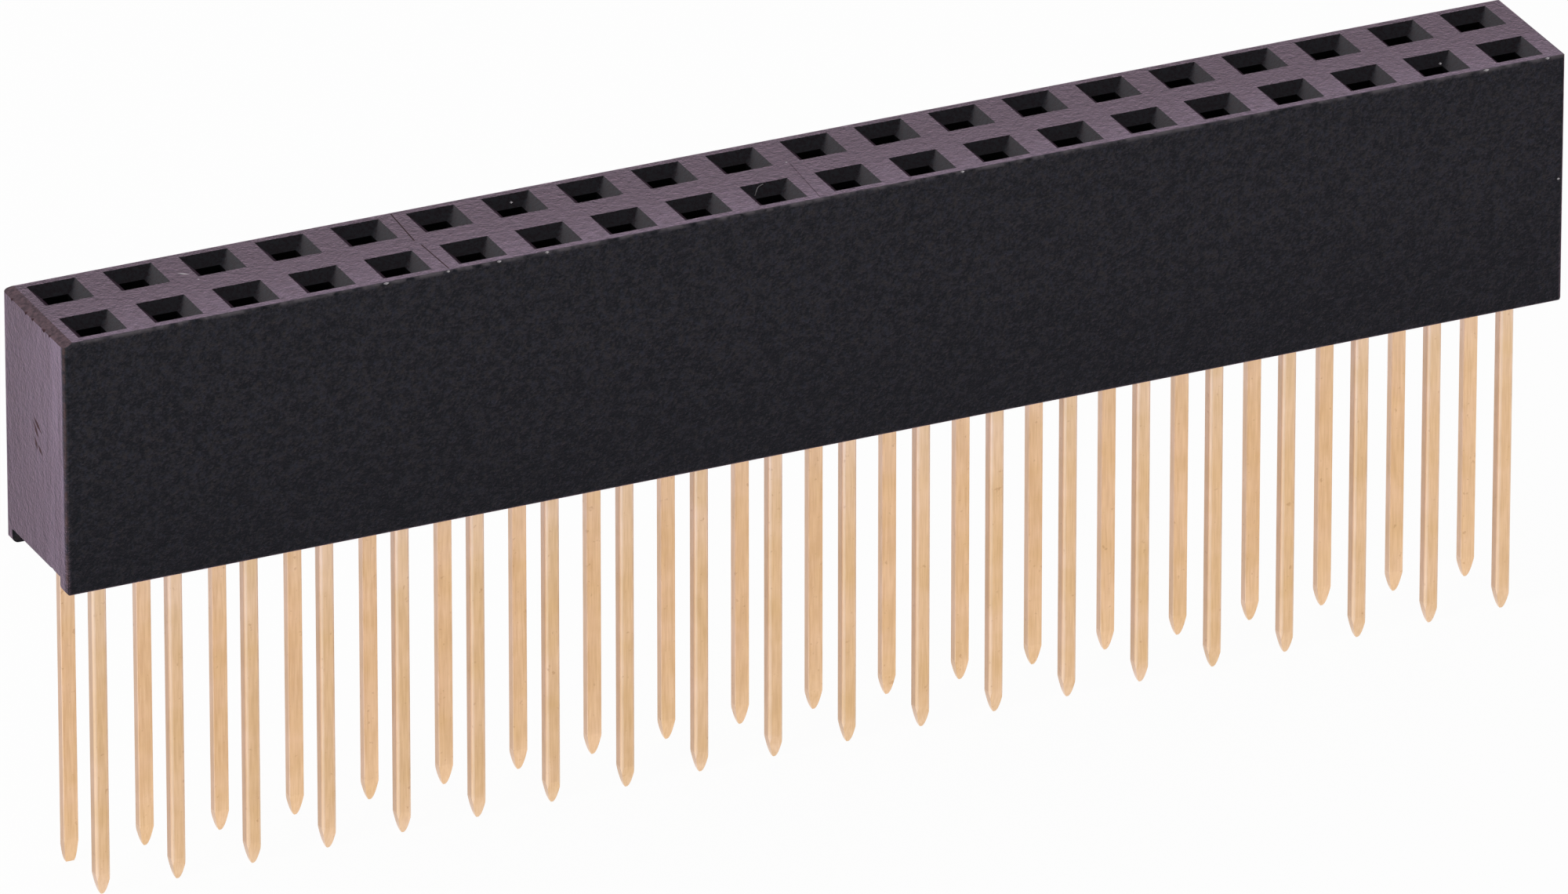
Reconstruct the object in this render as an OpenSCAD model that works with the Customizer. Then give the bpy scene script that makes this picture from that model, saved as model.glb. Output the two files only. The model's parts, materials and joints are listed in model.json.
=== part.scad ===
// Stackable header socket: a two-row female pin header with long tails.
// One moulded housing holds two rows of stamped and formed contacts.
// Origin: centre of the pin field on the seating plane, under the skirts.
// X runs along the rows, -Y is the front and +Z points out of the sockets.

/* [Layout] */
// Contacts in each row
positions = 20; // [2:1:29]
// Distance between neighbouring contacts of a row
pitch = 2.54; // [2.3:0.01:5.08]
// Distance between the front row and the back row
row_pitch = 2.54; // [2.2:0.01:5.08]

/* [Housing] */
// Height from the seating plane to the mating face
housing_h = 8.5; // [7:0.1:14]
// Wall between the last socket mouth and the end face
end_wall = 0.66; // [0.4:0.02:2]
// Wall between a socket mouth and the long face
side_wall = 0.32; // [0.2:0.01:1]
// Rounding of the edges around the mating face
rim_r = 0.1; // [0.05:0.01:0.18]
// Rounding of the four upright corners
corner_r = 0.18; // [0.05:0.01:0.3]
// Rounding of the skirt ends where they meet the board
skirt_end_r = 0.22; // [0.05:0.01:0.3]
// Thickness of the two skirts that stand on the board
skirt_t = 0.48; // [0.25:0.01:0.5]
// Height of the skirts under the recessed floor
skirt_h = 0.5; // [0.2:0.05:0.8]

/* [Sockets] */
// Length of the funnel at the mating face, along the row
mouth_x = 1.62; // [1.2:0.02:1.9]
// Width of the funnel at the mating face, across the row
mouth_y = 1.52; // [1.2:0.02:1.9]
// Depth of the funnel
funnel_depth = 0.34; // [0.2:0.02:0.6]
// Width of the square pin hole under the funnel
pin_hole = 0.84; // [0.7:0.02:1]
// Thickness of the roof over a contact cavity, funnel included
roof_t = 0.9; // [0.7:0.05:1.4]
// Length of a contact cavity along the row
cavity_x = 1.5; // [1.4:0.02:1.8]
// Width of a contact cavity across the row
cavity_y = 1.14; // [1.1:0.02:1.2]

/* [Contact tails] */
// Length of the tails under the seating plane
tail_l = 10.9; // [3:0.1:16]
// Width of a tail along the row
tail_w = 0.49; // [0.4:0.01:0.64]
// Thickness of a tail, which is heavier than the formed strip above it
tail_t = 0.4; // [0.3:0.01:0.5]
// Rounding of the two long edges on the rolled outer face of a tail
tail_roll_r = 0.12; // [0.04:0.01:0.19]
// Rounding of the two long edges on the sheared inner face of a tail
tail_edge_r = 0.03; // [0.01:0.01:0.1]
// Length of the tapered tip
tip_l = 0.75; // [0.4:0.05:2]
// Width left at the end of a tip
tip_w = 0.07; // [0.04:0.01:0.3]
// Length of the worn tip at the left end of the back row
blunt_tip_l = 0.8; // [0.4:0.05:2]
// Width left at the end of the worn tip
blunt_tip_w = 0.18; // [0.1:0.01:0.38]

/* [Contact springs] */
// Thickness of the strip that forms the springs
strip_t = 0.25; // [0.15:0.01:0.3]
// Clearance between a contact and its cavity
contact_gap = 0.04; // [0.02:0.01:0.08]
// Radius of the folds, at the middle of the strip
fold_r = 0.2; // [0.16:0.01:0.3]
// Height of the straight root between the recessed floor and the offset bend
root_h = 0.15; // [0.1:0.05:0.6]
// Height of the folded channel that holds the contact
channel_h = 1.4; // [0.9:0.1:2]
// Gap between the two relaxed springs, less than the pin that enters
spring_gap = 0.4; // [0.2:0.02:0.6]
// Width of a spring at its free end
spring_end_w = 0.5; // [0.3:0.05:0.7]
// Radius of the rounded contact crest, at the middle of the strip
crest_r = 0.5; // [0.3:0.05:1]
// Height of the flared lead-in over the crest
flare_h = 0.9; // [0.5:0.05:1.4]
// Clearance between a spring end and the roof
spring_end_gap = 0.25; // [0.1:0.05:0.6]
// Length of the flat on a retention barb
barb_land = 0.15; // [0.05:0.05:0.3]
// Length of the slope on a retention barb
barb_slope = 0.35; // [0.2:0.05:0.5]
// Width of a retention barb
barb_w = 0.4; // [0.2:0.05:0.5]

/* [Hidden] */
$fn = 48;
rows = ["front", "back"];
housing_l = (positions - 1) * pitch + mouth_x + 2 * end_wall;
housing_w = row_pitch + mouth_y + 2 * side_wall;
roof_z = housing_h - roof_t;
cut_over = 1;

// Contact frame: Z from the seating plane, the pin axis at X = 0 and Y = 0
wing_x = cavity_x / 2 - contact_gap - strip_t / 2;
spine_y = cavity_y / 2 - contact_gap - strip_t / 2;
wing_back = spine_y - fold_r;
wing_front = contact_gap - cavity_y / 2;
offset_z = skirt_h + root_h;
channel_z = offset_z + spine_y + fold_r;
channel_top = channel_z + channel_h;
crest_x = (spring_gap + strip_t) / 2;
flare_x = (pin_hole + strip_t) / 2;
spring_end_z = roof_z - spring_end_gap;
crest_z = spring_end_z - flare_h;
barb_z = channel_z + (channel_h - barb_land - barb_slope) / 2;
arc_steps = 4;
tip_steps = 8;

function contact_name(row, i) = str("contact_", rows[row], "_", i < 10 ? "0" : "", i);
function row_y(row) = (row - 0.5) * row_pitch;
function place_x(i) = (i - (positions + 1) / 2) * pitch;

// Directions and turns of a path through the middle of a bent strip
function unit(v) = v / norm(v);
function left_of(v) = [-v.y, v.x];
function turn(u, v) = atan2(u.x * v.y - u.y * v.x, u * v);

// Points of the bend that rounds the corner b between a and c to radius r
function bend(a, b, c, r) =
    let (
        u = unit(b - a),
        v = unit(c - b),
        angle = turn(u, v),
        start = b - u * r * tan(abs(angle) / 2),
        spoke = left_of(u) * r * sign(angle),
        centre = start + spoke
    )
    [for (i = [0:arc_steps]) centre - turned(spoke, angle * i / arc_steps)];
function turned(v, a) = [v.x * cos(a) - v.y * sin(a), v.x * sin(a) + v.y * cos(a)];

// A path with each of its inner corners rounded to radius r
function rounded_path(path, r) =
    let (last = len(path) - 1)
    [path[0], for (i = [1:last - 1]) each bend(path[i - 1], path[i], path[i + 1], r), path[last]];

// A path moved sideways by d, to the left if d is positive
function beside(path, d) =
    let (last = len(path) - 1)
    [for (i = [0:last])
        let (
            u = unit(path[max(i, 1)] - path[max(i, 1) - 1]),
            v = unit(path[min(i, last - 1) + 1] - path[min(i, last - 1)]),
            m = unit(u + v)
        )
        path[i] + left_of(m) * d / (m * u)];
function backwards(path) = [for (i = [len(path) - 1:-1:0]) path[i]];

// Outline of a strip of even thickness, folded along a path
module bent_strip(path, r, thickness) {
    middle = rounded_path(path, r);
    polygon(concat(beside(middle, thickness / 2), backwards(beside(middle, -thickness / 2))));
}

// Extrusions of an outline drawn in X and Z, or in Y and Z
module along_y(depth) {
    rotate([90, 0, 0]) linear_extrude(height = depth, center = true) children();
}
module along_x(depth) {
    rotate([90, 0, 90]) linear_extrude(height = depth, center = true) children();
}

module rounded_rect(w, h, r) {
    square([w - 2 * r, h], center = true);
    square([w, h - 2 * r], center = true);
    for (sx = [-1, 1], sy = [-1, 1])
        translate([sx * (w / 2 - r), sy * (h / 2 - r)]) circle(r);
}

// Outline that stands on its first axis, with one rounding at the foot and another at the top
module upright_rect(w, h, foot_r, top_r) {
    intersection() {
        translate([0, h / 2 + cut_over / 2]) rounded_rect(w, h + cut_over, foot_r);
        translate([0, h / 2 - cut_over / 2]) rounded_rect(w, h + cut_over, top_r);
    }
}

module housing_blank() {
    intersection() {
        linear_extrude(height = housing_h) rounded_rect(housing_l, housing_w, corner_r);
        along_y(housing_w + cut_over) upright_rect(housing_l, housing_h, skirt_end_r, rim_r);
        along_x(housing_l + cut_over) upright_rect(housing_w, housing_h, rim_r, rim_r);
    }
}

// Section of a socket: funnel, pin hole and the contact cavity, open at the bottom
module socket_section(mouth, cavity) {
    polygon([
        [-cavity / 2, -cut_over], [cavity / 2, -cut_over],
        [cavity / 2, roof_z], [pin_hole / 2, roof_z],
        [pin_hole / 2, housing_h - funnel_depth], [mouth / 2, housing_h],
        [mouth / 2, housing_h + cut_over], [-mouth / 2, housing_h + cut_over],
        [-mouth / 2, housing_h], [-pin_hole / 2, housing_h - funnel_depth],
        [-pin_hole / 2, roof_z], [-cavity / 2, roof_z]
    ]);
}

// Every socket at once: the columns along the rows crossed with the two rows
module sockets() {
    intersection() {
        along_y(housing_w + cut_over)
            for (i = [1:positions]) translate([place_x(i), 0]) socket_section(mouth_x, cavity_x);
        along_x(housing_l + cut_over)
            for (row = [0, 1]) translate([row_y(row), 0]) socket_section(mouth_y, cavity_y);
    }
}

// The recess between the skirts, open at both ends
module board_recess() {
    recess_w = housing_w - 2 * skirt_t;
    translate([-housing_l / 2 - cut_over, -recess_w / 2, -cut_over])
        cube([housing_l + 2 * cut_over, recess_w, skirt_h + cut_over]);
}

module housing() {
    color("#2a282b")
        difference() {
            housing_blank();
            sockets();
            board_recess();
        }
}

// Outline of a straight tail that ends in a rounded nose, a parabola cut short at width end_w
module tail_outline(w, end_w, taper_l) {
    end_share = end_w / w;
    half = [for (i = [0:tip_steps])
        let (share = 1 + (end_share - 1) * i / tip_steps)
        [w / 2 * share, taper_l * (share ^ 2 - end_share ^ 2) / (1 - end_share ^ 2) - tail_l]];
    right = concat([[w / 2, offset_z]], half);
    left = [for (p = backwards(right)) [-p.x, p.y]];
    polygon(concat(right, left));
}

// Straight tail, rolled on its outer face, with a tip narrowed on all four sides
module tail(end_w, taper_l) {
    intersection() {
        translate([0, -tail_t / 2, -tail_l])
            linear_extrude(height = tail_l + offset_z)
                upright_rect(tail_w, tail_t, tail_roll_r, tail_edge_r);
        along_y(2 * tail_t) tail_outline(tail_w, end_w, taper_l);
        along_x(2 * tail_w) tail_outline(tail_t, tail_t * end_w / tail_w, taper_l);
    }
}

// Offset bend that carries the strip from the tail to the back of the channel
module offset_bend() {
    along_x(tail_w)
        bent_strip([
            [0, skirt_h], [0, offset_z],
            [spine_y, offset_z + spine_y], [spine_y, channel_top]
        ], fold_r, strip_t);
}

// Folded channel: the back and its two wings
module channel() {
    translate([0, 0, channel_z])
        linear_extrude(height = channel_h)
            bent_strip([
                [-wing_x, wing_front], [-wing_x, spine_y],
                [wing_x, spine_y], [wing_x, wing_front]
            ], fold_r, strip_t);
}

// Two springs that rise from the wings, lean together to the crest and flare
module springs() {
    root_z = channel_z + channel_h / 2;
    intersection() {
        along_y(cavity_y)
            for (side = [0, 1])
                mirror([side, 0])
                    bent_strip([
                        [wing_x, root_z], [wing_x, channel_top],
                        [crest_x, crest_z], [flare_x, spring_end_z]
                    ], crest_r, strip_t);
        along_x(cavity_x)
            polygon([
                [wing_front, root_z], [wing_back, root_z],
                [wing_back, channel_top], [spring_end_w / 2, spring_end_z],
                [-spring_end_w / 2, spring_end_z], [wing_front, channel_top]
            ]);
    }
}

// Barbs on both wings, flush with the cavity walls
module barbs() {
    wing_face = wing_x + strip_t / 2;
    translate([0, (wing_front + wing_back) / 2, 0])
        along_y(barb_w)
            for (side = [0, 1])
                mirror([side, 0])
                    polygon([
                        [wing_x, barb_z], [cavity_x / 2, barb_z],
                        [cavity_x / 2, barb_z + barb_land],
                        [wing_face, barb_z + barb_land + barb_slope],
                        [wing_x, barb_z + barb_land + barb_slope]
                    ]);
}

// The worn contact stands at the left end of the back row
module contact(row, i) {
    worn = row == 1 && i == 1;
    color("#d8b384")
        translate([place_x(i), row_y(row), 0])
            rotate([0, 0, row * 180])
                union() {
                    tail(worn ? blunt_tip_w : tip_w, worn ? blunt_tip_l : tip_l);
                    offset_bend();
                    channel();
                    springs();
                    barbs();
                }
}

housing();
for (row = [0, 1], i = [1:positions])
    contact(row, i);
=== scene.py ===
import json
import math

import bmesh
import bpy
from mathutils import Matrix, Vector

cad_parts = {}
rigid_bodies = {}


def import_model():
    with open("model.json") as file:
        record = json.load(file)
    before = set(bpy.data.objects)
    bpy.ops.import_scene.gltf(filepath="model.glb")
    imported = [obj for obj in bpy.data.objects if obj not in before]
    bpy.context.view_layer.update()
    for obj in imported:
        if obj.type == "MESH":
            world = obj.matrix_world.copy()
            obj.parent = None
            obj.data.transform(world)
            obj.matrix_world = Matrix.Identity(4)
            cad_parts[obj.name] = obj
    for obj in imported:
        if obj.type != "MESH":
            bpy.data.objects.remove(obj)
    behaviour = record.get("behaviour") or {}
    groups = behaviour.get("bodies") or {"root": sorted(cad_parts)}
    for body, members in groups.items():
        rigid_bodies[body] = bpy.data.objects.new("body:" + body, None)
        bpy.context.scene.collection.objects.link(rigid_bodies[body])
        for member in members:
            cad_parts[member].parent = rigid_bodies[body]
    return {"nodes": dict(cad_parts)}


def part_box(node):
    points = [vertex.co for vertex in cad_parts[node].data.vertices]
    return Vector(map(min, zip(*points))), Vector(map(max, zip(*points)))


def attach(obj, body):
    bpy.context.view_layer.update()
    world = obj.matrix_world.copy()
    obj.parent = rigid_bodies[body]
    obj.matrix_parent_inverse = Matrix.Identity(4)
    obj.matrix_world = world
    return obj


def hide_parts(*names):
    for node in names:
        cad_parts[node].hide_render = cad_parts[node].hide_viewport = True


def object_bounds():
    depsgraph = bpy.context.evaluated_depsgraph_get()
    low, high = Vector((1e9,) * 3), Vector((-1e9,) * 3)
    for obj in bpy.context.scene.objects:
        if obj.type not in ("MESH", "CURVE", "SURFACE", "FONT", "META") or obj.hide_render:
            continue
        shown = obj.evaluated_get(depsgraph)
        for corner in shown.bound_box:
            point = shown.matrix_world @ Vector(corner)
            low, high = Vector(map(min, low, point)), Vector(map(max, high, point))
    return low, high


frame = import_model()
cad_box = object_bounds()
_, housing_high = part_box("housing")

MM = 0.001
BODY = "root"
UP = Vector((0, 0, 1))
LEFT = Vector((-1, 0, 0))
FRONT = Vector((0, -1, 0))

# Camera, fitted to the tips, the socket mouths and the edges of the housing, with angles in degrees
IMAGE_WIDTH = 2000
CAMERA_AZIMUTH = 24.883
CAMERA_ELEVATION = 25.339
CAMERA_DISTANCE = 670.3 * MM
CAMERA_FOCAL_PX = 27469
AIM_RIGHT = -0.2934 * MM
AIM_UP = -0.9202 * MM
SENSOR_WIDTH = 36.0

# Studio floor: half its side in metres, and the share of plain white that the camera sees in it
STUDIO_FLOOR_HALF = 2.0
STUDIO_FLOOR_WHITE = 0.96

# Studio surround: where it is brightest, and its strengths over a span of the cosine to there
SURROUND_BRIGHT_SIDE = (-0.35, 0.8, 0.5)
SURROUND_COSINES = (-0.6, 0.9)
SURROUND_STRENGTHS = (0.06, 0.85)

# Softboxes, as name, place and side in metres, and radiance
SOFTBOXES = [
    ("left", (-0.66, -0.20, 0.14), 0.40, 7.0),
    ("right_back", (0.3, 0.65, 0.34), 0.50, 0.6),
]

# Housing, in millimetres from the origin of the frame
TOP = housing_high.z / MM
HALF_LENGTH = housing_high.x / MM
HALF_WIDTH = housing_high.y / MM
SKIRT_H = 0.5
RIM_R = 0.1

# Sockets, with the sizes of the part's source
ROW_PITCH = 2.54
MOUTH_Y = 1.52
PIN_HOLE = 0.84
FUNNEL_DEPTH = 0.34
FUNNEL_INSET = (MOUTH_Y - PIN_HOLE) / 2
FRONT_ROW = -1
BACK_ROW = 1

# Worn bevel along the top edge of the left end
END_BEVEL_LENGTH = 0.35
END_BEVEL_DROP = 0.12

# Chips along that worn edge, as (y, length)
END_CHIPS = [(1.62, 0.14), (0.54, 0.20), (0.02, 0.16), (-0.85, 0.26), (-1.30, 0.12)]
CHIP_WIDTH = 0.22
CHIP_DEPTH = 0.10

# Seams of the mould's inserts, as (x, y) of both ends on the mating face, and the width
SEAMS = [
    ((-12.66, 2.20), (-12.80, 0.10), 0.045),
    ((-12.72, -0.25), (-12.66, -2.20), 0.045),
    ((0.08, 0.45), (-0.12, -2.20), 0.018),
]
SEAM_DEPTH = 0.02

# Torn strokes of the gate scar, as (y, z) of both ends on the left end face
SCAR_STROKES = [
    ((0.05, 5.12), (-0.60, 4.76)),
    ((0.08, 4.98), (-0.40, 4.44)),
    ((-0.02, 4.46), (-0.27, 4.08)),
    ((-0.28, 4.31), (-0.62, 4.03)),
]
STROKE_WIDTH = 0.16
STROKE_DEPTH = 0.05

# Nicks along the front edge of the mating face, as (x, length)
EDGE_NICKS = [
    (-14.82, 0.20), (-12.74, 0.12), (-11.03, 0.16), (-9.42, 0.14),
    (4.69, 0.14), (22.81, 0.22), (24.95, 0.16),
]
NICK_WIDTH = 0.10
NICK_DEPTH = 0.04

# A nick of the same section at the foot of the left end face, between the skirts
FOOT_NICK_Y = -1.28
FOOT_NICK_LENGTH = 0.30

# Scratches on the mating face, as (x, y) of both ends
SCRATCHES = [
    ((-20.36, 0.99), (-20.04, 0.75)),
    ((-19.97, 0.34), (-19.91, 0.30)),
    ((-0.02, 0.58), (0.04, 0.52)),
]
SCRATCH_WIDTH = 0.08
SCRATCH_DEPTH = 0.02

# Pits of the scratches' section on the back walls of the funnels, as (x, row, share of the way down)
WALL_PITS = [(-8.76, BACK_ROW, 0.59), (-10.70, BACK_ROW, 0.42), (21.97, FRONT_ROW, 0.80)]
PIT_LENGTH = 0.12

# Another such pit on the front face beside its right edge, as (x, z)
FRONT_PIT = (25.39, 4.25)

# A fibre on the back wall of a front funnel, as (x, share of the way down)
FIBRE = [(-1.30, 0.12), (-1.38, 0.17), (-1.48, 0.26), (-1.60, 0.55), (-1.68, 0.80)]
FIBRE_R = 0.014

# The contact with the worn tip, the length of the wear and how much wider its end is
WORN_CONTACT = "contact_back_01"
WORN_LENGTH = 0.8
WORN_WIDENING = 0.5

# Least distance of a face in a socket from the outer faces, and from the heights that bound it
INSIDE_MARGIN = 0.25
HEIGHT_MARGIN = 0.01

# Corners of a mesh that are closer than this are one
WELD_DISTANCE = 0.001

# Zones of the outer roundings at the sides and the ends, and the angle in degrees of a sharp edge there
ROUND_SIDE_ZONE = 1.5 * RIM_R
ROUND_END_ZONE = 3 * RIM_R
ROUND_ANGLE = 60

# Angle of a sharp edge elsewhere
SHARP_ANGLE = 30

# Most values of a noise texture lie in this span
NOISE_SPAN = (0.3, 0.7)

# Heights over which the painted shade at the foot of the housing fades
FOOT_SHADE_HEIGHTS = (0.0, 5.0)

# Distances from an edge at which rubbing, and on the top edges a painted highlight, begin to fade and
# end
EDGE_WEAR_AND_HIGHLIGHT_REACH = (0.03, 0.12)

# Sockets of a mix node for colours, whose names repeat for each kind of data
MIX_FACTOR = 0
MIX_A = 6
MIX_B = 7
MIX_RESULT = 2


def camera_axes():
    """Unit vectors from the object to the camera, and to the right and up in the picture."""
    azimuth = math.radians(CAMERA_AZIMUTH)
    elevation = math.radians(CAMERA_ELEVATION)
    back = Vector((
        -math.sin(azimuth) * math.cos(elevation),
        -math.cos(azimuth) * math.cos(elevation),
        math.sin(elevation),
    ))
    right = Vector((math.cos(azimuth), -math.sin(azimuth), 0))
    return back, right, back.cross(right)


def add_camera():
    """Camera at the photograph's viewing angle."""
    back, right, up = camera_axes()
    data = bpy.data.cameras.new("camera")
    data.sensor_width = SENSOR_WIDTH
    data.lens = CAMERA_FOCAL_PX / IMAGE_WIDTH * SENSOR_WIDTH
    camera = bpy.data.objects.new("camera", data)
    camera.location = right * AIM_RIGHT + up * AIM_UP + back * CAMERA_DISTANCE
    camera.rotation_euler = (-back).to_track_quat("-Z", "Y").to_euler()
    bpy.context.scene.collection.objects.link(camera)
    bpy.context.scene.camera = camera


class Nodes:
    """Short calls to make and link the nodes of one material or world."""

    def __init__(self, tree):
        self.tree = tree
        tree.nodes.clear()

    def add(self, kind, inputs=None, **settings):
        """A new node with these settings, and its inputs fed."""
        node = self.tree.nodes.new(kind)
        for name, value in settings.items():
            setattr(node, name, value)
        for name, value in (inputs or {}).items():
            self.feed(node.inputs[name], value)
        return node

    def feed(self, socket, value):
        """Links a socket to another socket, or sets it to a constant."""
        if isinstance(value, bpy.types.NodeSocket):
            self.tree.links.new(value, socket)
        else:
            socket.default_value = value

    def math(self, operation, a, b=0.0):
        return self.add("ShaderNodeMath", {0: a, 1: b}, operation=operation).outputs[0]

    def vector_math(self, operation, a, b):
        return self.add("ShaderNodeVectorMath", {0: a, 1: b}, operation=operation).outputs

    def mix(self, factor, a, b, blend="MIX"):
        """Colour a where factor is zero and b, or a blended with b, where it is one."""
        inputs = {MIX_FACTOR: factor, MIX_A: a, MIX_B: b}
        return self.add("ShaderNodeMix", inputs, data_type="RGBA", blend_type=blend).outputs[MIX_RESULT]

    def noise(self, vector, scale, detail, roughness):
        inputs = {"Vector": vector, "Scale": scale, "Detail": detail, "Roughness": roughness}
        return self.add("ShaderNodeTexNoise", inputs).outputs["Fac"]

    def grain(self, scale):
        """Noise of a plastic surface, with about this many grains to the millimetre."""
        return self.noise(self.millimetres(), scale, detail=3.0, roughness=0.6)

    def spread(self, value, span, result=(0.0, 1.0)):
        """Where a value lies in a span, limited to its ends, carried over to the result's span."""
        inputs = {"Value": value}
        inputs["From Min"], inputs["From Max"] = span
        inputs["To Min"], inputs["To Max"] = result
        return self.add("ShaderNodeMapRange", inputs).outputs["Result"]

    def split(self, vector):
        """The x, y and z of a vector."""
        return self.add("ShaderNodeSeparateXYZ", {0: vector}).outputs

    def millimetres(self, scale=(1, 1, 1)):
        """The place on the object in millimetres, squeezed along the axes by scale."""
        place = self.add("ShaderNodeTexCoord").outputs["Object"]
        return self.vector_math("MULTIPLY", place, tuple(share / MM for share in scale))["Vector"]

    def normal(self):
        """The direction that the surface faces, without its relief."""
        return self.add("ShaderNodeTexCoord").outputs["Normal"]

    def relief(self, height, strength, depth):
        """The direction that the surface faces with a relief of this depth in millimetres."""
        inputs = {"Height": height, "Strength": strength, "Distance": depth * MM}
        return self.add("ShaderNodeBump", inputs).outputs["Normal"]

    def finish(self, inputs):
        """The material's shader and its output."""
        shader = self.add("ShaderNodeBsdfPrincipled", inputs)
        self.add("ShaderNodeOutputMaterial", {"Surface": shader.outputs[0]})


def new_material(name):
    """An empty material and the calls that make its nodes."""
    material = bpy.data.materials.new(name)
    material.use_nodes = True
    return material, Nodes(material.node_tree)


def edge_wear_and_highlight(nodes, place):
    """How strongly the long top edges and the upright corners are lightened, one on them and zero
    beside them: rubbing, with a painted highlight on the top edges.
    """
    x, y, z = nodes.split(place)
    from_end = nodes.math("SUBTRACT", HALF_LENGTH, nodes.math("ABSOLUTE", x))
    from_side = nodes.math("SUBTRACT", HALF_WIDTH, nodes.math("ABSOLUTE", y))
    from_top = nodes.math("SUBTRACT", TOP, z)
    rim = nodes.spread(nodes.math("MAXIMUM", from_side, from_top), EDGE_WEAR_AND_HIGHLIGHT_REACH, (1.0, 0.0))
    corner = nodes.spread(nodes.math("MAXIMUM", from_side, from_end), EDGE_WEAR_AND_HIGHLIGHT_REACH, (1.0, 0.0))
    return rim, corner


def film_and_painted_light(nodes, place):
    """Density of the pale film on level and end faces, streaked, with painted light: denser towards the
    front and heavier on the ends.
    """
    # Painted light: the film grows denser towards the front and the top, and heavier on the end faces
    dense_from_y = 1.5
    at_back_and_front = (0.06, 0.56)
    at_foot_and_top = (0.5, 1.0)
    painted_light_on_ends = (0.0, 0.08)
    between_and_on_streaks = (0.4, 1.6)
    upright = (1, 1, 0.08)
    facing_x, _, facing_z = [nodes.math("ABSOLUTE", part) for part in nodes.split(nodes.normal())]
    flat = nodes.spread(nodes.math("MAXIMUM", facing_x, facing_z), (0.9, 0.99))
    # Painted light on the end faces
    painted_end_light = nodes.spread(facing_x, (0.5, 0.7), painted_light_on_ends)
    _, y, z = nodes.split(place)
    forward = nodes.math("POWER", nodes.spread(y, (dense_from_y, -HALF_WIDTH)), 2.0)
    forward = nodes.math("MULTIPLY", forward, nodes.spread(z, FOOT_SHADE_HEIGHTS, at_foot_and_top))
    density = nodes.math("MULTIPLY", flat, nodes.spread(forward, (0.0, 1.0), at_back_and_front))
    density = nodes.math("ADD", density, painted_end_light)
    streaks = nodes.noise(nodes.millimetres(upright), scale=4.0, detail=4.0, roughness=0.65)
    return nodes.math("MULTIPLY", density, nodes.spread(streaks, NOISE_SPAN, between_and_on_streaks))


def plastic_colour(nodes, grain, mottle):
    """Black with a changing hue and painted shade towards the foot, under the pale film with its
    painted light and the rubbed edges with a painted highlight on the rim.
    """
    black = (0.000, 0.005, 0.006, 1)
    bluish = (0.018, 0.024, 0.034, 1)
    greyish = (0.025, 0.025, 0.023, 1)
    # Colour of the pale film, which also carries the painted light of the film's density
    film = (0.172, 0.142, 0.20, 1)
    # Rubbed rim, with a painted highlight on its rounding
    rim_rub_and_highlight = (0.11, 0.10, 0.11, 1)
    rubbed_corner = (0.12, 0.06, 0.045, 1)
    corner_share = 0.6
    foot_shade = 0.42
    place = nodes.millimetres()
    hue = nodes.spread(nodes.noise(place, scale=6.0, detail=2.0, roughness=0.5), (0.35, 0.65))
    rubbed = nodes.spread(nodes.grain(2.2), (0.38, 0.58))
    rim, corner = [nodes.math("MULTIPLY", worn, rubbed) for worn in edge_wear_and_highlight(nodes, place)]
    # Painted shade: darker towards the foot
    painted_foot_shade = nodes.spread(nodes.split(place)["Z"], FOOT_SHADE_HEIGHTS, (foot_shade, 0.0))
    tone = nodes.spread(nodes.math("ADD", grain, mottle), (0.87, 1.13))
    light = nodes.mix(hue, bluish, greyish)
    colour = nodes.mix(nodes.math("SUBTRACT", tone, painted_foot_shade), black, light)
    colour = nodes.mix(film_and_painted_light(nodes, place), colour, film)
    colour = nodes.mix(rim, colour, rim_rub_and_highlight)
    return nodes.mix(nodes.math("MULTIPLY", corner, corner_share), colour, rubbed_corner)


def housing_plastic():
    """Matte black moulded plastic: eroded grain, mottling, and a sheen at grazing views."""
    mottle_height = 2.0
    material, nodes = new_material("housing_plastic")
    grain = nodes.grain(13.0)
    mottle = nodes.noise(nodes.millimetres(), scale=4.0, detail=4.0, roughness=0.7)
    height = nodes.math("ADD", grain, nodes.math("MULTIPLY", mottle, mottle_height))
    nodes.finish({
        "Base Color": plastic_colour(nodes, grain, mottle),
        "Roughness": nodes.spread(grain, NOISE_SPAN, (0.5, 0.62)),
        "Specular IOR Level": 0.08,
        "Specular Tint": (0.85, 0.9, 1.0, 1),
        "Sheen Weight": 0.84,
        "Sheen Roughness": 0.4,
        "Sheen Tint": (1.0, 0.67, 0.89, 1),
        "Normal": nodes.relief(height, strength=0.8, depth=0.03),
    })
    return material


def funnel_plastic():
    """The same plastic on the walls of the funnels, smooth from the ground pins of the mould."""
    material, nodes = new_material("funnel_plastic")
    grain = nodes.grain(9.0)
    tone = nodes.spread(grain, (0.4, 0.6))
    nodes.finish({
        "Base Color": nodes.mix(tone, (0.000, 0.000, 0.000, 1), (0.004, 0.008, 0.009, 1)),
        "Roughness": nodes.spread(grain, NOISE_SPAN, (0.24, 0.34)),
        "Specular IOR Level": 0.32,
        "Specular Tint": (1.0, 0.84, 1.0, 1),
        "Sheen Weight": 0.10,
        "Sheen Roughness": 0.4,
        "Sheen Tint": (1.0, 0.45, 0.85, 1),
        "Normal": nodes.relief(grain, strength=0.5, depth=0.015),
    })
    return material


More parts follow.
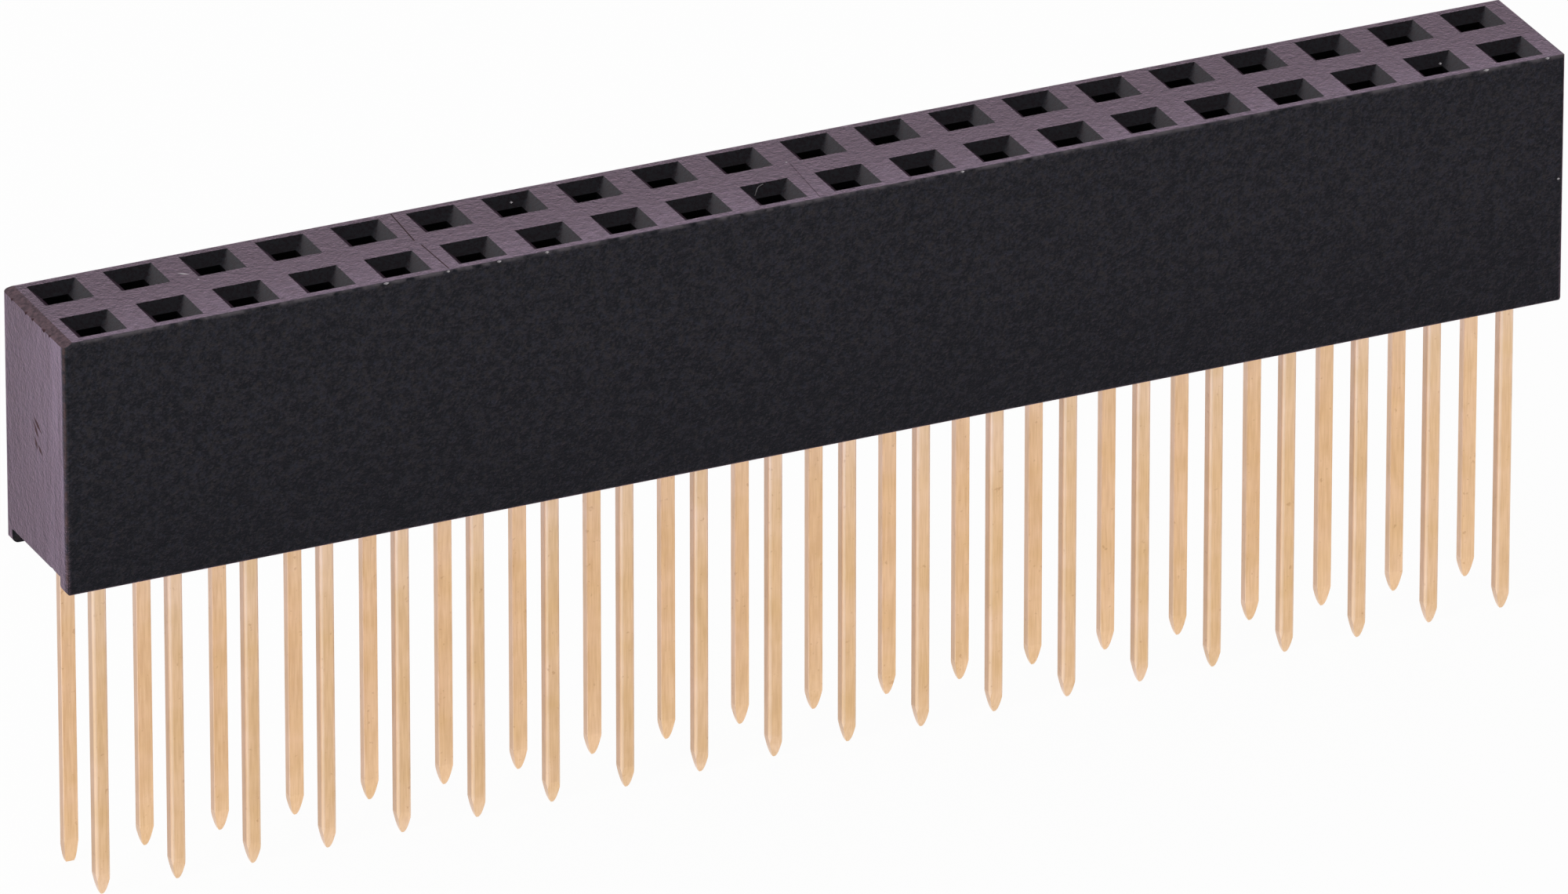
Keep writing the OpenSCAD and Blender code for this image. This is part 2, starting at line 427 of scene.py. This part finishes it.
def shaded_plastic():
    """A darker copy of the plastic, without its film or sheen, on the faces inside the sockets: painted
    shade.
    """
    material, nodes = new_material("shaded_plastic")
    grain = nodes.grain(7.0)
    nodes.finish({
        "Base Color": nodes.mix(grain, (0.001, 0.001, 0.001, 1), (0.004, 0.004, 0.005, 1)),
        "Roughness": nodes.spread(grain, NOISE_SPAN, (0.45, 0.6)),
        "Specular IOR Level": 0.15,
    })
    return material


def torn_plastic():
    """Rough, brownish plastic in the seams, the gate scar, the chips and the nick at the foot."""
    material, nodes = new_material("torn_plastic")
    grain = nodes.grain(14.0)
    nodes.finish({
        "Base Color": nodes.mix(grain, (0.030, 0.012, 0.015, 1), (0.080, 0.042, 0.050, 1)),
        "Roughness": nodes.spread(grain, NOISE_SPAN, (0.55, 0.75)),
        "Specular IOR Level": 0.15,
    })
    return material


def worn_plastic():
    """Plastic rubbed dull and mottled along the worn edge of the left end."""
    material, nodes = new_material("worn_plastic")
    tone = nodes.spread(nodes.grain(8.0), (0.38, 0.62))
    nodes.finish({
        "Base Color": nodes.mix(tone, (0.010, 0.005, 0.007, 1), (0.085, 0.052, 0.058, 1)),
        "Roughness": nodes.spread(tone, (0.0, 1.0), (0.55, 0.7)),
        "Specular IOR Level": 0.1,
        "Sheen Weight": 0.6,
        "Sheen Roughness": 0.4,
        "Sheen Tint": (1.0, 0.67, 0.85, 1),
    })
    return material


def whitened_plastic():
    """Freshly broken plastic in the nicks, scratches and pits, pale and dull."""
    material, nodes = new_material("whitened_plastic")
    grain = nodes.grain(18.0)
    nodes.finish({
        "Base Color": nodes.mix(grain, (0.34, 0.32, 0.34, 1), (0.72, 0.68, 0.71, 1)),
        "Roughness": nodes.spread(grain, NOISE_SPAN, (0.6, 0.8)),
    })
    return material


def plating_colour(nodes, lines):
    """Pale gold with darker lines and stains, and painted light: a lighter back row, a painted
    reflection near the housing, painted highlights on the rolled edges and the front tips, and painted
    shade on the sheared sides.
    """
    pale_gold = (0.89, 0.60, 0.375, 1)
    deep_gold = (0.815, 0.535, 0.29, 1)
    place = nodes.millimetres()
    patches = nodes.noise(place, scale=0.9, detail=3.0, roughness=0.5)
    spots = nodes.noise(place, scale=5.0, detail=2.0, roughness=0.5)
    _, across, height = nodes.split(place)
    facing_x = nodes.math("ABSOLUTE", nodes.split(nodes.normal())["X"])
    # Painted light: the back row is lighter, making up for the shade of the front row
    back_row_light = nodes.spread(across, (-0.5, 0.5))
    front_row = nodes.spread(across, (0.5, -0.5))
    # Painted reflection of the housing: paler towards the top of the tails
    housing_reflection = nodes.spread(height, (-4.0, -0.5))
    # Painted highlight near the tips of the front row
    tip_highlight = nodes.math("MULTIPLY", nodes.spread(height, (-10.0, -10.6)), front_row)
    # Painted highlight on the rolled edges, where the faces turn from the sides
    side = nodes.spread(facing_x, (0.1, 0.5))
    # Painted shade on the sheared sides
    sheared_side_shade = nodes.spread(facing_x, (0.94, 1.0))
    dark_line = nodes.spread(lines, (0.35, 0.65), (0.0, 0.8))
    stain = nodes.spread(spots, (0.68, 0.76), (0.0, 0.5))
    tints = [
        (back_row_light, (1.06, 1.07, 1.10, 1)),
        (housing_reflection, (1.025, 1.09, 1.25, 1)),
        (side, (1.0, 1.08, 1.27, 1)),
        (tip_highlight, (1.05, 1.10, 1.22, 1)),
        (dark_line, (0.90, 0.88, 0.85, 1)),
        (stain, (0.66, 0.56, 0.5, 1)),
        (sheared_side_shade, (0.74, 0.68, 0.66, 1)),
    ]
    gold = nodes.mix(nodes.spread(patches, NOISE_SPAN), pale_gold, deep_gold)
    for share, tint in tints:
        gold = nodes.mix(share, gold, tint, "MULTIPLY")
    return gold


def contact_plating():
    """Thin gold plating on stamped strip, with faint lines along it."""
    material, nodes = new_material("contact_plating")
    lines = nodes.noise(nodes.millimetres((1, 1, 0.05)), scale=22.0, detail=2.0, roughness=0.5)
    nodes.finish({
        "Base Color": plating_colour(nodes, lines),
        "Metallic": 1.0,
        "Roughness": nodes.spread(lines, NOISE_SPAN, (0.34, 0.42)),
        "Normal": nodes.relief(lines, strength=0.2, depth=0.004),
    })
    return material


def lint():
    """Pale fibre."""
    material, nodes = new_material("lint")
    tone = nodes.noise(nodes.millimetres(), scale=12.0, detail=2.0, roughness=0.5)
    nodes.finish({
        "Base Color": nodes.mix(tone, (0.14, 0.13, 0.14, 1), (0.26, 0.24, 0.25, 1)),
        "Roughness": nodes.spread(tone, NOISE_SPAN, (0.7, 0.9)),
    })
    return material


def floor_white():
    """White floor that the camera and reflections see as white, less the object's shadow."""
    material, nodes = new_material("floor_white")
    path = nodes.add("ShaderNodeLightPath").outputs
    seen = nodes.math("MAXIMUM", path["Is Camera Ray"], path["Is Glossy Ray"])
    seen = nodes.math("MAXIMUM", seen, path["Is Transmission Ray"])
    share = nodes.math("MULTIPLY", seen, STUDIO_FLOOR_WHITE)
    lit = nodes.add("ShaderNodeBsdfDiffuse", {"Color": (0.9, 0.9, 0.9, 1)})
    white = nodes.add("ShaderNodeEmission", {"Color": (1, 1, 1, 1), "Strength": 1.0})
    mixed = nodes.add("ShaderNodeMixShader", {0: share, 1: lit.outputs[0], 2: white.outputs[0]})
    nodes.add("ShaderNodeOutputMaterial", {"Surface": mixed.outputs[0]})
    return material


def add_floor():
    """Square floor at the height of the lowest tips."""
    half = STUDIO_FLOOR_HALF
    z = cad_box[0].z
    mesh = bpy.data.meshes.new("floor")
    corners = [(-half, -half, z), (half, -half, z), (half, half, z), (-half, half, z)]
    mesh.from_pydata(corners, [], [(0, 1, 2, 3)])
    mesh.materials.append(floor_white())
    floor = bpy.data.objects.new("floor", mesh)
    bpy.context.scene.collection.objects.link(floor)


def add_world():
    """Studio surround, bright towards the back and dim towards the front."""
    world = bpy.data.worlds.new("studio")
    world.use_nodes = True
    bpy.context.scene.world = world
    nodes = Nodes(world.node_tree)
    direction = nodes.add("ShaderNodeTexCoord").outputs["Generated"]
    bright_side = Vector(SURROUND_BRIGHT_SIDE).normalized()
    cosine = nodes.vector_math("DOT_PRODUCT", direction, bright_side)["Value"]
    strength = nodes.spread(cosine, SURROUND_COSINES, SURROUND_STRENGTHS)
    shown = nodes.add("ShaderNodeBackground", {"Color": (1, 1, 1, 1), "Strength": strength})
    nodes.add("ShaderNodeOutputWorld", {"Surface": shown.outputs[0]})


def add_softbox(name, place, side, radiance):
    """Square area lamp that faces the object, as bright as radiance seen from the front."""
    data = bpy.data.lights.new(name, "AREA")
    data.size = side
    data.energy = radiance * math.pi * side ** 2
    lamp = bpy.data.objects.new(name, data)
    lamp.location = place
    lamp.rotation_euler = (-Vector(place)).to_track_quat("-Z", "Y").to_euler()
    bpy.context.scene.collection.objects.link(lamp)


def diamond(place, along, normal, width, depth):
    """Section of a groove, half of it over the surface and half under it."""
    side = along.cross(normal).normalized() * (width / 2)
    return [place + side, place - side, place + normal * depth, place - normal * depth]


def even_groove(start, end, normal, width, depth):
    """Corners of a cutter with the same section from end to end."""
    along = end - start
    return diamond(start, along, normal, width, depth) + diamond(end, along, normal, width, depth)


def pointed_groove(start, end, normal, width, depth):
    """Corners of a cutter that is widest half way and pointed at both ends."""
    return [start, end] + diamond((start + end) / 2, end - start, normal, width, depth)


def short_groove(middle, along, normal, width, depth):
    """Corners of a pointed cutter around its middle, with along as its length and direction."""
    return pointed_groove(middle - along / 2, middle + along / 2, normal, width, depth)


def back_wall(x, row, share):
    """A place on the sloped back wall of a funnel in the front or back row, a share of the way down."""
    y = row * ROW_PITCH / 2 + MOUTH_Y / 2 - FUNNEL_INSET * share
    return Vector((x, y, TOP - FUNNEL_DEPTH * share))


def back_wall_normal():
    """The direction that the back wall of a funnel faces."""
    return Vector((0, -FUNNEL_DEPTH, FUNNEL_INSET)).normalized()


def end_bevel():
    """Corners of the cutter of the worn bevel along the top edge of the left end."""
    reach = HALF_WIDTH + END_BEVEL_LENGTH
    slope = Vector((-END_BEVEL_LENGTH, 0, -END_BEVEL_DROP))
    inner = Vector((END_BEVEL_LENGTH - HALF_LENGTH, 0, TOP))
    outside = inner + slope + LEFT + UP
    section = [inner - slope, inner + 2 * slope, outside]
    return [place + Vector((0, y, 0)) for place in section for y in (-reach, reach)]


def torn_marks():
    """Cutters of the seams, the gate scar, and the chips and the nick on the edges of the left end."""
    for start, end, width in SEAMS:
        yield even_groove(Vector((*start, TOP)), Vector((*end, TOP)), UP, width, SEAM_DEPTH)
    for stroke in SCAR_STROKES:
        start, end = [Vector((-HALF_LENGTH, *place)) for place in stroke]
        yield pointed_groove(start, end, LEFT, STROKE_WIDTH, STROKE_DEPTH)
    outward = (LEFT + UP).normalized()
    for y, length in END_CHIPS:
        middle = Vector((-HALF_LENGTH, y, TOP - END_BEVEL_DROP))
        yield short_groove(middle, Vector((0, length, 0)), outward, CHIP_WIDTH, CHIP_DEPTH)
    outward = (LEFT - UP).normalized()
    foot = Vector((-HALF_LENGTH, FOOT_NICK_Y, SKIRT_H))
    yield short_groove(foot, Vector((0, FOOT_NICK_LENGTH, 0)), outward, NICK_WIDTH, NICK_DEPTH)


def pale_marks():
    """Cutters of the nicks, scratches and pits that show fresh plastic."""
    outward = (FRONT + UP).normalized()
    rim_centre = Vector((0, RIM_R - HALF_WIDTH, TOP - RIM_R))
    for x, length in EDGE_NICKS:
        middle = rim_centre + outward * RIM_R + Vector((x, 0, 0))
        yield short_groove(middle, Vector((length, 0, 0)), outward, NICK_WIDTH, NICK_DEPTH)
    for scratch in SCRATCHES:
        start, end = [Vector((*place, TOP)) for place in scratch]
        yield pointed_groove(start, end, UP, SCRATCH_WIDTH, SCRATCH_DEPTH)
    along = Vector((PIT_LENGTH, 0, 0))
    for x, row, share in WALL_PITS:
        middle = back_wall(x, row, share)
        yield short_groove(middle, along, back_wall_normal(), SCRATCH_WIDTH, SCRATCH_DEPTH)
    x, z = FRONT_PIT
    yield short_groove(Vector((x, -HALF_WIDTH, z)), along, FRONT, SCRATCH_WIDTH, SCRATCH_DEPTH)


def add_cutter(cutters, corners, material):
    """A convex cutter with these corners, whose material its cut takes."""
    bm = bmesh.new()
    for corner in corners:
        bm.verts.new(corner * MM)
    bmesh.ops.convex_hull(bm, input=bm.verts)
    bmesh.ops.recalc_face_normals(bm, faces=bm.faces)
    mesh = bpy.data.meshes.new("cutter")
    bm.to_mesh(mesh)
    bm.free()
    mesh.materials.append(material)
    cutters.objects.link(bpy.data.objects.new("cutter", mesh))


def welded_copy(source):
    """A copy of a node's mesh in which neighbouring faces share their corners."""
    mesh = source.data.copy()
    bm = bmesh.new()
    bm.from_mesh(mesh)
    bmesh.ops.remove_doubles(bm, verts=bm.verts, dist=WELD_DISTANCE * MM)
    bm.to_mesh(mesh)
    bm.free()
    return mesh


def apply_modifiers(piece):
    """Replaces the piece's mesh by what its modifiers make of it."""
    graph = bpy.context.evaluated_depsgraph_get()
    mesh = bpy.data.meshes.new_from_object(piece.evaluated_get(graph))
    piece.modifiers.clear()
    piece.data = mesh


def cut_marks(piece):
    """Cuts the worn bevel and the marks into the housing."""
    cutters = bpy.data.collections.new("cutters")
    bpy.context.scene.collection.children.link(cutters)
    cuts = [
        ([end_bevel()], worn_plastic()),
        (torn_marks(), torn_plastic()),
        (pale_marks(), whitened_plastic()),
    ]
    for marks, material in cuts:
        for corners in marks:
            add_cutter(cutters, corners, material)
    cut = piece.modifiers.new("marks", "BOOLEAN")
    cut.operand_type = "COLLECTION"
    cut.collection = cutters
    cut.solver = "EXACT"
    cut.material_mode = "TRANSFER"
    apply_modifiers(piece)
    for cutter in list(cutters.objects):
        bpy.data.objects.remove(cutter)
    bpy.data.collections.remove(cutters)


def is_inside(centre, bottom, top):
    """Whether a face of the housing lies in a socket, between two heights."""
    from_end = HALF_LENGTH - abs(centre.x)
    from_side = HALF_WIDTH - abs(centre.y)
    within = min(from_end, from_side) > INSIDE_MARGIN
    return within and bottom + HEIGHT_MARGIN < centre.z < top - HEIGHT_MARGIN


def paint_sockets(mesh, plastic, funnel, shaded):
    """Gives the unmarked walls of the funnels one material, and all the faces under them the darker
    copy of the plastic that paints their shade.
    """
    plastic_index, funnel_index, shaded_index = [
        mesh.materials.find(material.name) for material in (plastic, funnel, shaded)
    ]
    funnel_bottom = TOP - FUNNEL_DEPTH
    for face in mesh.polygons:
        centre = face.center / MM
        if is_inside(centre, SKIRT_H, funnel_bottom):
            face.material_index = shaded_index
        elif is_inside(centre, funnel_bottom, TOP) and face.material_index == plastic_index:
            face.material_index = funnel_index


def shade_smooth(mesh):
    """Smooth shading with sharp edges at steep angles and where materials meet."""
    bm = bmesh.new()
    bm.from_mesh(mesh)
    for edge in bm.edges:
        middle = (edge.verts[0].co + edge.verts[1].co) / (2 * MM)
        at_side = abs(middle.y) > HALF_WIDTH - ROUND_SIDE_ZONE
        at_end = abs(middle.x) > HALF_LENGTH - ROUND_END_ZONE
        limit = math.radians(ROUND_ANGLE if at_side or at_end else SHARP_ANGLE)
        materials_meet = len({face.material_index for face in edge.link_faces}) > 1
        edge.smooth = not materials_meet and edge.calc_face_angle(math.pi) < limit
    for face in bm.faces:
        face.smooth = True
    bm.to_mesh(mesh)
    bm.free()


def add_housing():
    """The moulded housing: the CAD housing's own mesh, with its wear and marks cut into it."""
    plastics = [housing_plastic(), funnel_plastic(), shaded_plastic()]
    mesh = welded_copy(frame["nodes"]["housing"])
    mesh.materials.clear()
    for material in plastics:
        mesh.materials.append(material)
    piece = bpy.data.objects.new("housing_moulding", mesh)
    bpy.context.scene.collection.objects.link(piece)
    cut_marks(piece)
    paint_sockets(piece.data, *plastics)
    shade_smooth(piece.data)
    normals = piece.modifiers.new("normals", "WEIGHTED_NORMAL")
    normals.keep_sharp = True
    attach(piece, BODY)
    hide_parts("housing")


def add_fibre():
    """A short fibre caught in a front socket, lying on the back wall of its funnel."""
    data = bpy.data.curves.new("fibre", "CURVE")
    data.dimensions = "3D"
    data.bevel_depth = FIBRE_R * MM
    data.use_fill_caps = True
    spline = data.splines.new("BEZIER")
    spline.bezier_points.add(len(FIBRE) - 1)
    for point, (x, share) in zip(spline.bezier_points, FIBRE):
        point.co = (back_wall(x, FRONT_ROW, share) + back_wall_normal() * FIBRE_R) * MM
        point.handle_left_type = "AUTO"
        point.handle_right_type = "AUTO"
    data.materials.append(lint())
    piece = bpy.data.objects.new("fibre", data)
    bpy.context.scene.collection.objects.link(piece)
    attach(piece, BODY)


def plate_contacts():
    """Gives every contact of the CAD model its plating."""
    plating = contact_plating()
    for name, node in frame["nodes"].items():
        if name != "housing":
            node.data.materials.clear()
            node.data.materials.append(plating)


def add_worn_contact():
    """The contact whose tip is worn to a wide, blunt end, with the plating of the others."""
    low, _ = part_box(WORN_CONTACT)
    mesh = frame["nodes"][WORN_CONTACT].data.copy()
    tip = [vertex.co.x for vertex in mesh.vertices if vertex.co.z < low.z + WORN_LENGTH * MM]
    middle = (min(tip) + max(tip)) / 2
    for vertex in mesh.vertices:
        worn = max(0.0, 1 - (vertex.co.z - low.z) / (WORN_LENGTH * MM))
        vertex.co.x = middle + (vertex.co.x - middle) * (1 + WORN_WIDENING * worn ** 2)
    piece = bpy.data.objects.new("worn_contact", mesh)
    bpy.context.scene.collection.objects.link(piece)
    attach(piece, BODY)
    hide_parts(WORN_CONTACT)


add_camera()
add_floor()
add_world()
for softbox in SOFTBOXES:
    add_softbox(*softbox)
bpy.context.scene.view_settings.view_transform = "Standard"

plate_contacts()
add_housing()
add_fibre()
add_worn_contact()
